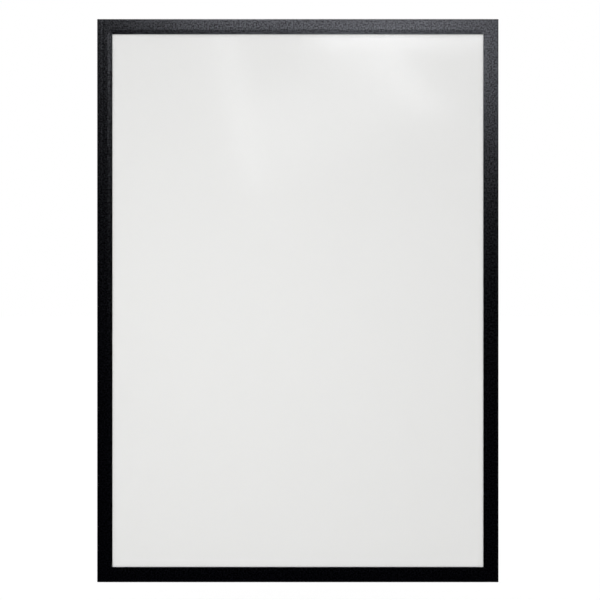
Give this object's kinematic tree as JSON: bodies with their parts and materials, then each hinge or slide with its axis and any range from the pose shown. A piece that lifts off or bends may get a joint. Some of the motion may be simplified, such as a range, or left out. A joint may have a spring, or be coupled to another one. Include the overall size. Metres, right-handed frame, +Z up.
{
  "type": "poster frame",
  "caption": "Self-adhesive poster frame: black border film over flexible magnet strips, with a clear cover that folds open like a page and shuts by its magnets over a blank sheet.",
  "frame": {"origin": "in the wall plane, at the middle of the frame", "axes": "+X to the right as seen from the front, +Y into the wall (the front faces -Y), +Z up the long side"},
  "size_m": [0.744, 0.0029, 1.044],
  "materials": {
    "adhesive_tape": "satin",
    "clear_sheet": "gloss",
    "magnet_strip": "matte",
    "spacer_strip": "matte",
    "clear_film": "satin",
    "border_film": "satin",
    "poster_paper": "matte"
  },
  "bodies": {
    "backing": {"wall_tape_top": "adhesive_tape", "wall_tape_bottom": "adhesive_tape", "wall_tape_left": "adhesive_tape", "wall_tape_right": "adhesive_tape", "back_sheet": "clear_sheet", "base_magnet_top": "magnet_strip", "base_magnet_bottom": "magnet_strip", "base_magnet_left": "magnet_strip", "base_magnet_right": "magnet_strip", "hinge_spacer": "spacer_strip", "hinge_window_margin": "clear_film", "hinge_border_margin": "border_film", "poster_sheet": "poster_paper"},
    "cover": {"cover_magnet_top": "magnet_strip", "cover_magnet_bottom": "magnet_strip", "cover_magnet_left": "magnet_strip", "cover_magnet_right": "magnet_strip", "window_film": "clear_film", "cover_border": "border_film", "hinge_crease": "border_film"}
  },
  "joints": [
    {"name": "cover_hinge", "type": "hinge", "parent": "backing", "child": "cover", "pos_m": [-0.362, -0.00287, 0], "axis": [0, 0, -1], "range_deg": [0, 170]}
  ]
}
